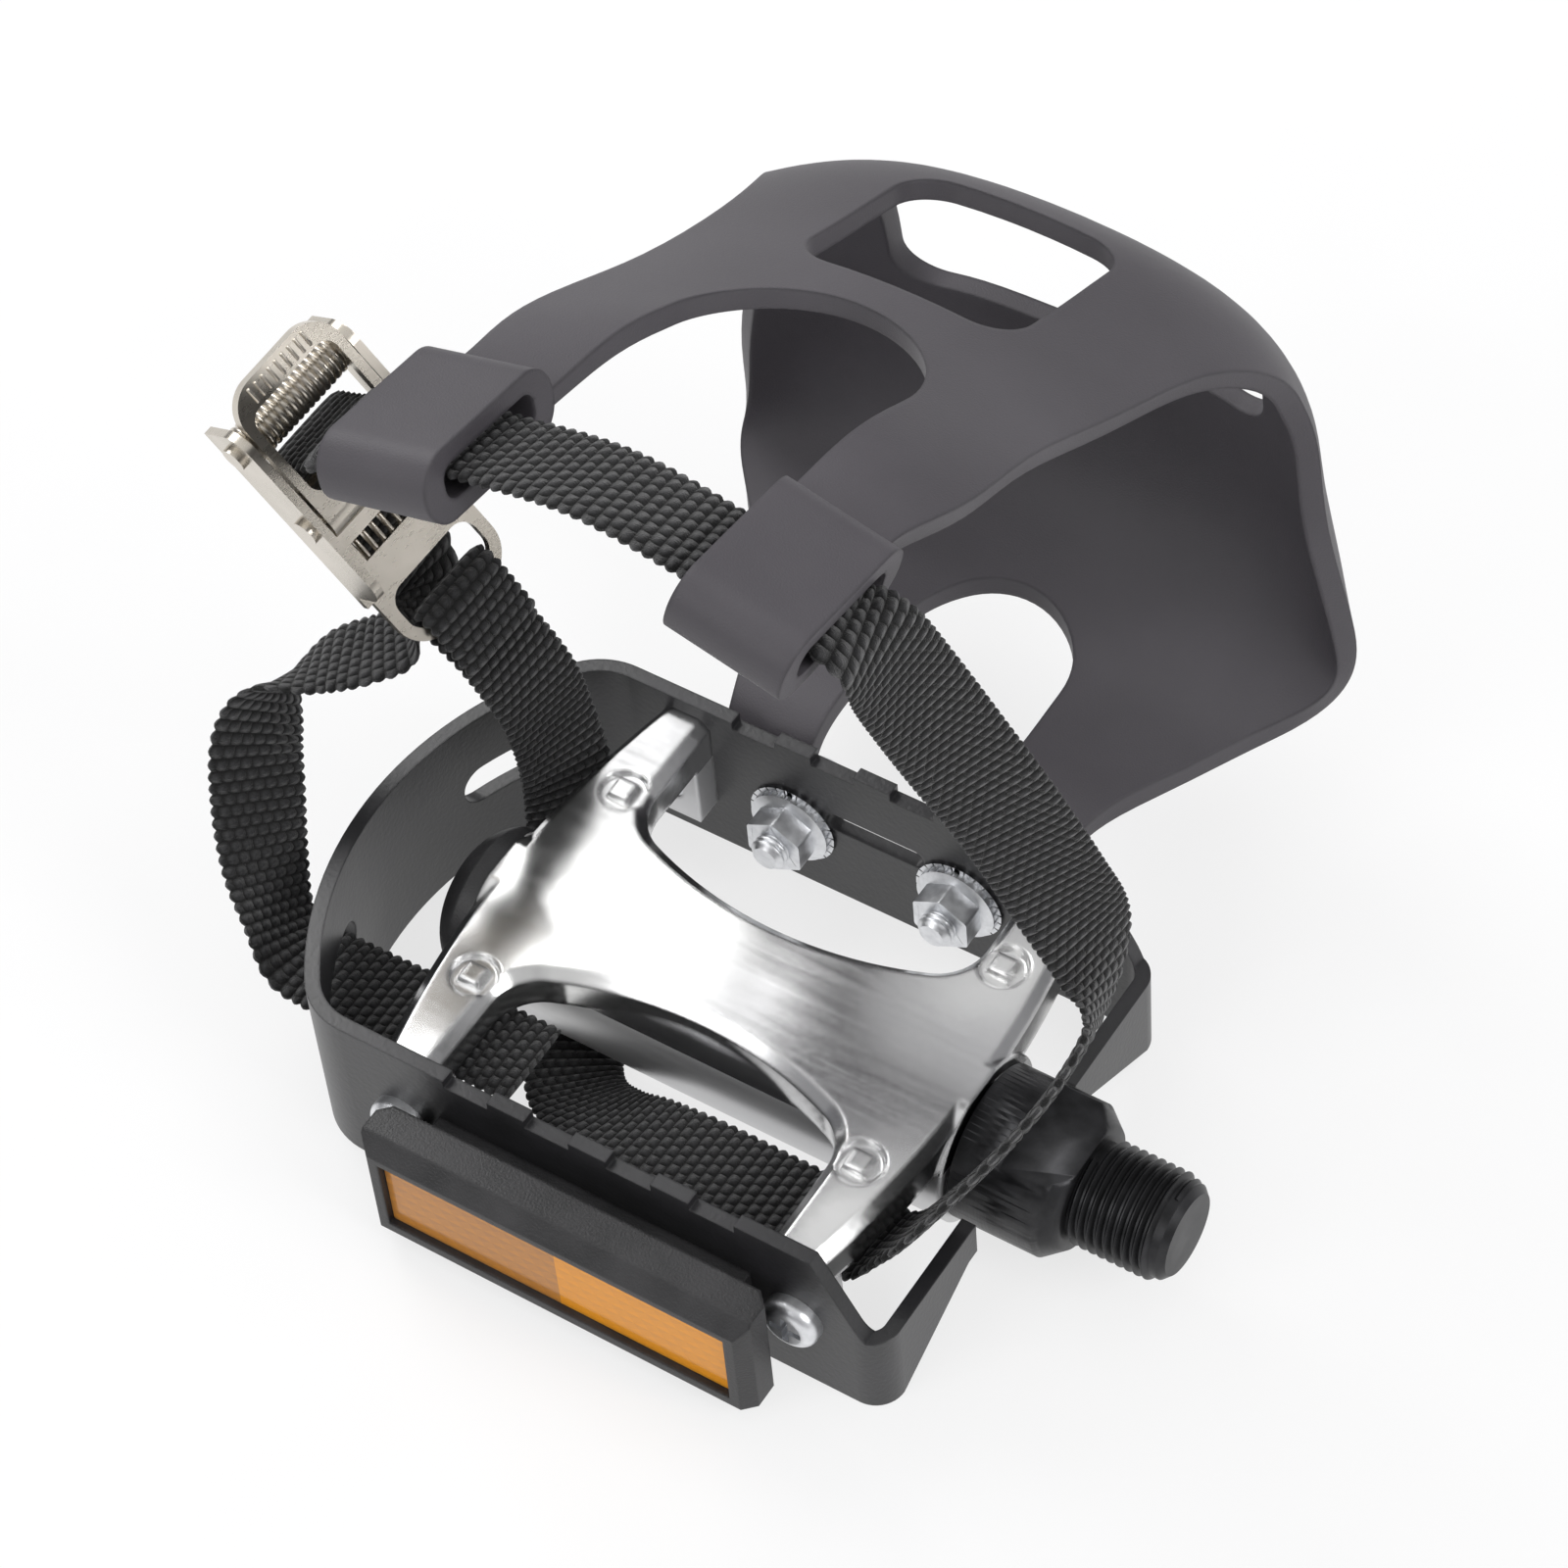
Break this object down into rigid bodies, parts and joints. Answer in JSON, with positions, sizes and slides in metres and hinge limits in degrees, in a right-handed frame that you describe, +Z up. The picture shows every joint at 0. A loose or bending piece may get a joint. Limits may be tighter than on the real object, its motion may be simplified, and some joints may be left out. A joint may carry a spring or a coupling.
{
  "type": "toe clip pedal",
  "caption": "Left bicycle cage pedal with a moulded toe clip over the front, a webbing strap through its loops, a thumb-lever buckle, an amber rear reflector and a threaded spindle.",
  "frame": {"origin": "on the spindle axis at the shoulder where the crank thread starts", "axes": "+X along the spindle towards the crank, +Y forward towards the toe, +Z up"},
  "size_m": [0.1369, 0.1346, 0.1303],
  "materials": {
    "cast_alloy": "polished die casting",
    "black_steel": "satin black paint",
    "zinc_steel": "bright zinc",
    "dark_spindle": "black oxide",
    "bearing_steel": "ground",
    "seal_rubber": "matte",
    "black_plastic": "satin moulding",
    "amber_lens": "clear amber prisms",
    "clip_nylon": "satin moulding",
    "webbing": "ribbed weave",
    "nickel": "nickel plate"
  },
  "bodies": {
    "pedal": {"body_casting": "cast_alloy", "cage": "black_steel", "cage_screws": "zinc_steel", "inboard_cup": "bearing_steel", "outboard_cup": "bearing_steel", "inboard_balls": "bearing_steel", "outboard_balls": "bearing_steel", "inboard_seal": "seal_rubber", "dust_cap": "black_plastic", "reflector_housing": "black_plastic", "reflector_lens": "amber_lens", "toe_clip": "clip_nylon", "toe_clip_bolts": "zinc_steel", "toe_clip_washers": "zinc_steel", "toe_clip_nuts": "zinc_steel", "strap": "webbing", "buckle_frame": "nickel", "lever_pin": "nickel", "roller_pin": "nickel"},
    "axle": {"spindle": "dark_spindle", "adjusting_cone": "bearing_steel", "lock_washer": "zinc_steel", "lock_nut": "zinc_steel"},
    "lever": {"buckle_lever": "nickel"},
    "roller": {"strap_roller": "nickel"}
  },
  "joints": [
    {"name": "spindle_spin", "type": "hinge", "parent": "pedal", "child": "axle", "pos_m": [0, 0, 0], "axis": [1, 0, 0], "continuous": true},
    {"name": "lever_lift", "type": "hinge", "parent": "pedal", "child": "lever", "pos_m": [-0.10703, 0.0095, 0.06415], "axis": [0.1467, 0.9642, 0.2208], "range_deg": [0, 38], "stiffness_Nm_per_rad": 0.02},
    {"name": "roller_spin", "type": "hinge", "parent": "pedal", "child": "roller", "pos_m": [-0.1155, 0.00863, 0.07357], "axis": [0.1467, 0.9642, 0.2208], "continuous": true}
  ]
}
